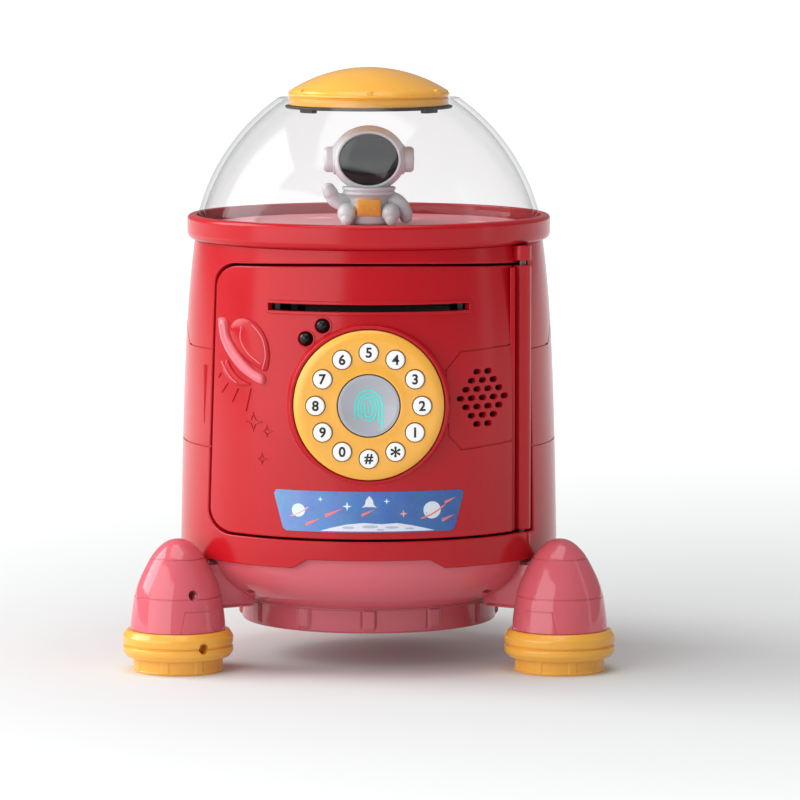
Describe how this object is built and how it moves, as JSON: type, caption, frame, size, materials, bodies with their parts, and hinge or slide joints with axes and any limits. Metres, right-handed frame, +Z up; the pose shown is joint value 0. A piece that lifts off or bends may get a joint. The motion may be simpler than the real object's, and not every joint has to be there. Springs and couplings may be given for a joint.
{
  "type": "toy savings bank",
  "caption": "Rocket-shaped savings bank on boosters with a hinged door, dial keypad, motor banknote feed, coin slot and a small figure under a clear dome.",
  "frame": {"origin": "on the floor, under the middle of the whole outline", "axes": "+Z up along the rocket, -Y towards the door, +X to the viewer's right"},
  "size_m": [0.1968, 0.1894, 0.2389],
  "materials": {
    "red_plastic": "satin gloss ABS",
    "pink_plastic": "gloss ABS",
    "yellow_plastic": "gloss ABS",
    "clear_plastic": "clear polished polystyrene",
    "white_plastic": "satin ABS",
    "black_gloss": "polished black",
    "button_silver": "pearl grey, slightly translucent",
    "dark_plastic": "moulded matte",
    "gear_plastic": "natural acetal",
    "silicone": "matte silicone",
    "circuit_board": "solder mask",
    "steel": "bright zinc",
    "cell_wrap": "plain wrapped cells",
    "label_print": "gloss printed sticker"
  },
  "bodies": {
    "root": {"body_shell": "red_plastic", "rim_ring": "red_plastic", "dome_floor": "pink_plastic", "lower_bowl": "pink_plastic", "nozzle_ring": "pink_plastic", "booster_back_half_a": "pink_plastic", "booster_back_half_b": "pink_plastic", "booster_left_half_a": "pink_plastic", "booster_left_half_b": "pink_plastic", "booster_right_half_a": "pink_plastic", "booster_right_half_b": "pink_plastic", "dome_cap": "yellow_plastic", "booster_back_foot": "yellow_plastic", "booster_left_foot": "yellow_plastic", "booster_right_foot": "yellow_plastic", "dome": "clear_plastic", "astronaut_body": "white_plastic", "astronaut_helmet": "white_plastic", "astronaut_visor": "black_gloss", "money_floor": "dark_plastic", "battery_tray": "dark_plastic", "main_board": "circuit_board", "hinge_pin": "steel", "case_screws": "steel", "booster_screws": "steel", "battery_contacts": "steel", "battery_cells": "cell_wrap"},
    "door": {"door_panel": "red_plastic", "door_liner": "dark_plastic", "dial_ring": "yellow_plastic", "key_membrane": "silicone", "keypad_board": "circuit_board", "indicator_leds": "black_gloss", "speaker": "dark_plastic", "feed_motor": "steel", "bill_guide": "dark_plastic", "lock_case": "dark_plastic", "label": "label_print", "liner_screws": "steel"},
    "battery_cover": {"battery_cover": "pink_plastic"},
    "fingerprint_button": {"fingerprint_button": "button_silver"},
    "feed_roller": {"feed_roller": "dark_plastic", "roller_sleeve": "silicone"},
    "pressure_roller": {"pressure_roller": "gear_plastic"},
    "motor_pinion": {"motor_pinion": "gear_plastic"},
    "lock_bolt": {"lock_bolt": "steel"},
    "key_5": {"key_5": "white_plastic"},
    "key_4": {"key_4": "white_plastic"},
    "key_3": {"key_3": "white_plastic"},
    "key_2": {"key_2": "white_plastic"},
    "key_1": {"key_1": "white_plastic"},
    "key_star": {"key_star": "white_plastic"},
    "key_hash": {"key_hash": "white_plastic"},
    "key_0": {"key_0": "white_plastic"},
    "key_9": {"key_9": "white_plastic"},
    "key_8": {"key_8": "white_plastic"},
    "key_7": {"key_7": "white_plastic"},
    "key_6": {"key_6": "white_plastic"}
  },
  "joints": [
    {"name": "door_hinge", "type": "hinge", "parent": "root", "child": "door", "pos_m": [0.0608, -0.05547, 0.11], "axis": [0, 0, 1], "range_deg": [0, 110]},
    {"name": "battery_cover_slide", "type": "slide", "parent": "root", "child": "battery_cover", "axis": [0, 0, -1], "range_m": [0, 0.012]},
    {"name": "key_5_press", "type": "slide", "parent": "door", "child": "key_5", "axis": [0, 1, 0], "range_m": [0, 0.001], "stiffness_N_per_m": 200},
    {"name": "key_4_press", "type": "slide", "parent": "door", "child": "key_4", "axis": [0, 1, 0], "range_m": [0, 0.001], "stiffness_N_per_m": 200},
    {"name": "key_3_press", "type": "slide", "parent": "door", "child": "key_3", "axis": [0, 1, 0], "range_m": [0, 0.001], "stiffness_N_per_m": 200},
    {"name": "key_2_press", "type": "slide", "parent": "door", "child": "key_2", "axis": [0, 1, 0], "range_m": [0, 0.001], "stiffness_N_per_m": 200},
    {"name": "key_1_press", "type": "slide", "parent": "door", "child": "key_1", "axis": [0, 1, 0], "range_m": [0, 0.001], "stiffness_N_per_m": 200},
    {"name": "key_star_press", "type": "slide", "parent": "door", "child": "key_star", "axis": [0, 1, 0], "range_m": [0, 0.001], "stiffness_N_per_m": 200},
    {"name": "key_hash_press", "type": "slide", "parent": "door", "child": "key_hash", "axis": [0, 1, 0], "range_m": [0, 0.001], "stiffness_N_per_m": 200},
    {"name": "key_0_press", "type": "slide", "parent": "door", "child": "key_0", "axis": [0, 1, 0], "range_m": [0, 0.001], "stiffness_N_per_m": 200},
    {"name": "key_9_press", "type": "slide", "parent": "door", "child": "key_9", "axis": [0, 1, 0], "range_m": [0, 0.001], "stiffness_N_per_m": 200},
    {"name": "key_8_press", "type": "slide", "parent": "door", "child": "key_8", "axis": [0, 1, 0], "range_m": [0, 0.001], "stiffness_N_per_m": 200},
    {"name": "key_7_press", "type": "slide", "parent": "door", "child": "key_7", "axis": [0, 1, 0], "range_m": [0, 0.001], "stiffness_N_per_m": 200},
    {"name": "key_6_press", "type": "slide", "parent": "door", "child": "key_6", "axis": [0, 1, 0], "range_m": [0, 0.001], "stiffness_N_per_m": 200},
    {"name": "fingerprint_press", "type": "slide", "parent": "door", "child": "fingerprint_button", "axis": [0, 1, 0], "range_m": [0, 0.001], "stiffness_N_per_m": 300},
    {"name": "feed_roller_spin", "type": "hinge", "parent": "door", "child": "feed_roller", "pos_m": [0, -0.06947, 0.14105], "axis": [1, 0, 0], "continuous": true},
    {"name": "pressure_roller_spin", "type": "hinge", "parent": "door", "child": "pressure_roller", "pos_m": [0, -0.06947, 0.15135], "axis": [1, 0, 0], "continuous": true},
    {"name": "motor_pinion_spin", "type": "hinge", "parent": "door", "child": "motor_pinion", "pos_m": [-0.029, -0.06947, 0.12905], "axis": [1, 0, 0], "continuous": true},
    {"name": "lock_bolt_slide", "type": "slide", "parent": "door", "child": "lock_bolt", "axis": [-1, 0, 0], "range_m": [0, 0.004]}
  ],
  "couplings": [
    {"joint": "pressure_roller_spin", "follows": "feed_roller_spin", "ratio": -1.5},
    {"joint": "motor_pinion_spin", "follows": "feed_roller_spin", "ratio": -1.5}
  ]
}
